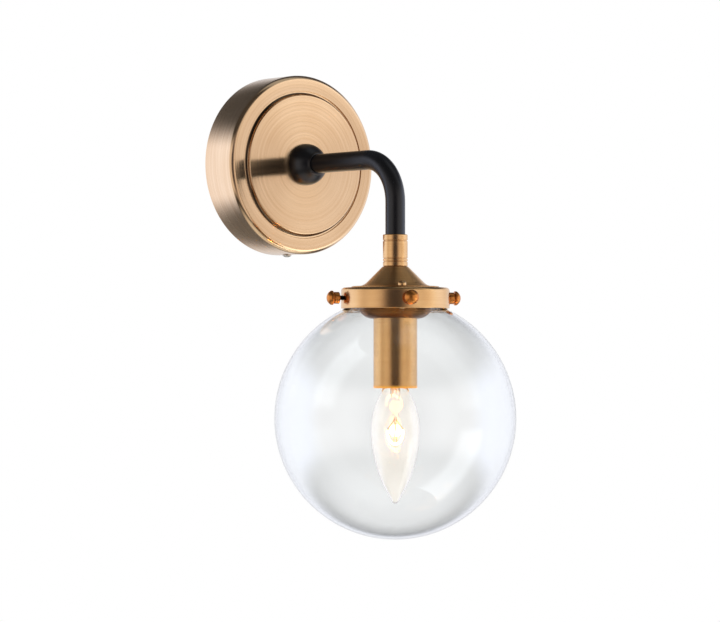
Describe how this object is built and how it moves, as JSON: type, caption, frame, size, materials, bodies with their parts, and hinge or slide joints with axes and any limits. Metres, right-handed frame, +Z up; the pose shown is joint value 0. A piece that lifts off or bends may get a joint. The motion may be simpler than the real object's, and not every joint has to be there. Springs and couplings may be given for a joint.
{
  "type": "globe wall sconce",
  "caption": "Wall sconce with a stepped round brass canopy, a bent black arm and a clear glass globe held in a brass ring fitter by thumbscrews round a torpedo bulb.",
  "frame": {"origin": "middle of the canopy on the wall plane, midway between the bracket's two slots", "axes": "+Z up, +Y into the wall, the arm and the lamp stand out along -Y, +X to the right as seen by someone facing the wall"},
  "size_m": [0.1524, 0.1997, 0.299],
  "materials": {
    "canopy_brass": "satin, brushed round the middle",
    "fitter_brass": "polished, lacquered",
    "knob_brass": "polished",
    "black_enamel": "satin black",
    "blackened_steel": "black oxide",
    "nickel_plate": "bright nickel",
    "zinc_steel": "zinc plated",
    "bare_brass": "plain",
    "white_plastic": "gloss",
    "black_phenolic": "matte black",
    "nylon": "natural",
    "black_sleeve": "black",
    "white_sleeve": "white",
    "green_sleeve": "green",
    "clear_glass": "clear, blown",
    "bulb_glass": "clear",
    "dark_glass": "black glass",
    "lead_metal": "nickel iron wire",
    "filament": "phosphor coat, lit"
  },
  "bodies": {
    "fixture": {"arm_base_ball": "black_enamel", "arm_lock_nut": "zinc_steel", "arm_nipple": "zinc_steel", "arm_tube": "black_enamel", "arm_washer": "zinc_steel", "canopy": "canopy_brass", "canopy_hook": "zinc_steel", "canopy_set_screw": "nickel_plate", "cone_cap": "fitter_brass", "earth_lug": "bare_brass", "earth_tag": "bare_brass", "earth_wire": "green_sleeve", "fitter_nut": "zinc_steel", "fitter_ring": "fitter_brass", "fitter_washer": "zinc_steel", "ground_screw": "zinc_steel", "heat_shield": "fitter_brass", "line_wire": "black_sleeve", "lower_nipple": "zinc_steel", "neck_coupler": "fitter_brass", "neutral_wire": "white_sleeve", "plate_screws": "fitter_brass", "shield_spacers": "zinc_steel", "socket_body": "black_phenolic", "socket_cap": "black_phenolic", "socket_contact": "bare_brass", "socket_cup": "fitter_brass", "socket_shell": "bare_brass", "socket_terminals": "bare_brass", "terminal_block": "white_plastic", "terminal_block_screw": "zinc_steel", "terminal_clamp_screws": "zinc_steel", "thumbscrew_bushes": "bare_brass", "wall_bracket": "zinc_steel", "wire_bush": "white_plastic"},
    "globe": {"globe": "clear_glass"},
    "bulb_contact": {"bulb_contact": "bare_brass"},
    "bulb": {"bulb_cap": "nickel_plate", "bulb_glass": "bulb_glass", "bulb_insulator": "dark_glass", "bulb_stem": "bulb_glass", "bulb_leads": "lead_metal", "bulb_supports": "lead_metal", "bulb_filament": "filament"},
    "thumbscrew_tip_front": {"thumbscrew_tip_front": "nylon"},
    "thumbscrew_front": {"thumbscrew_stud_front": "blackened_steel", "thumbscrew_knob_front": "knob_brass"},
    "thumbscrew_tip_right": {"thumbscrew_tip_right": "nylon"},
    "thumbscrew_right": {"thumbscrew_stud_right": "blackened_steel", "thumbscrew_knob_right": "knob_brass"},
    "thumbscrew_tip_back": {"thumbscrew_tip_back": "nylon"},
    "thumbscrew_back": {"thumbscrew_stud_back": "blackened_steel", "thumbscrew_knob_back": "knob_brass"},
    "thumbscrew_tip_left": {"thumbscrew_tip_left": "nylon"},
    "thumbscrew_left": {"thumbscrew_stud_left": "blackened_steel", "thumbscrew_knob_left": "knob_brass"}
  },
  "joints": [
    {"name": "globe_slide", "type": "slide", "parent": "fixture", "child": "globe", "axis": [0, 0, -1], "range_m": [0, 0.16]},
    {"name": "bulb_out", "type": "slide", "parent": "fixture", "child": "bulb_contact", "axis": [0, 0, -1], "range_m": [0, 0.00889]},
    {"name": "bulb_turn", "type": "hinge", "parent": "bulb_contact", "child": "bulb", "pos_m": [0, -0.1235, -0.13], "axis": [0, 0, -1], "range_deg": [0, 1260]},
    {"name": "front_screw_out", "type": "slide", "parent": "fixture", "child": "thumbscrew_tip_front", "axis": [-0.4115, -0.9114, 0], "range_m": [0, 0.0035]},
    {"name": "front_screw_turn", "type": "hinge", "parent": "thumbscrew_tip_front", "child": "thumbscrew_front", "pos_m": [0, -0.1235, -0.0885], "axis": [-0.4115, -0.9114, 0], "range_deg": [0, 2520]},
    {"name": "right_screw_out", "type": "slide", "parent": "fixture", "child": "thumbscrew_tip_right", "axis": [0.9114, -0.4115, 0], "range_m": [0, 0.0035]},
    {"name": "right_screw_turn", "type": "hinge", "parent": "thumbscrew_tip_right", "child": "thumbscrew_right", "pos_m": [0, -0.1235, -0.0885], "axis": [0.9114, -0.4115, 0], "range_deg": [0, 2520]},
    {"name": "back_screw_out", "type": "slide", "parent": "fixture", "child": "thumbscrew_tip_back", "axis": [0.4115, 0.9114, 0], "range_m": [0, 0.0035]},
    {"name": "back_screw_turn", "type": "hinge", "parent": "thumbscrew_tip_back", "child": "thumbscrew_back", "pos_m": [0, -0.1235, -0.0885], "axis": [0.4115, 0.9114, 0], "range_deg": [0, 2520]},
    {"name": "left_screw_out", "type": "slide", "parent": "fixture", "child": "thumbscrew_tip_left", "axis": [-0.9114, 0.4115, 0], "range_m": [-0.0018, 0.0017]},
    {"name": "left_screw_turn", "type": "hinge", "parent": "thumbscrew_tip_left", "child": "thumbscrew_left", "pos_m": [0, -0.1235, -0.0885], "axis": [-0.9114, 0.4115, 0], "range_deg": [-1296, 1224]}
  ],
  "couplings": [
    {"joint": "bulb_out", "follows": "bulb_turn", "m_per_rad": 0.00040425},
    {"joint": "front_screw_turn", "follows": "front_screw_out", "rad_per_m": 12566},
    {"joint": "right_screw_turn", "follows": "right_screw_out", "rad_per_m": 12566},
    {"joint": "back_screw_turn", "follows": "back_screw_out", "rad_per_m": 12566},
    {"joint": "left_screw_turn", "follows": "left_screw_out", "rad_per_m": 12566}
  ]
}
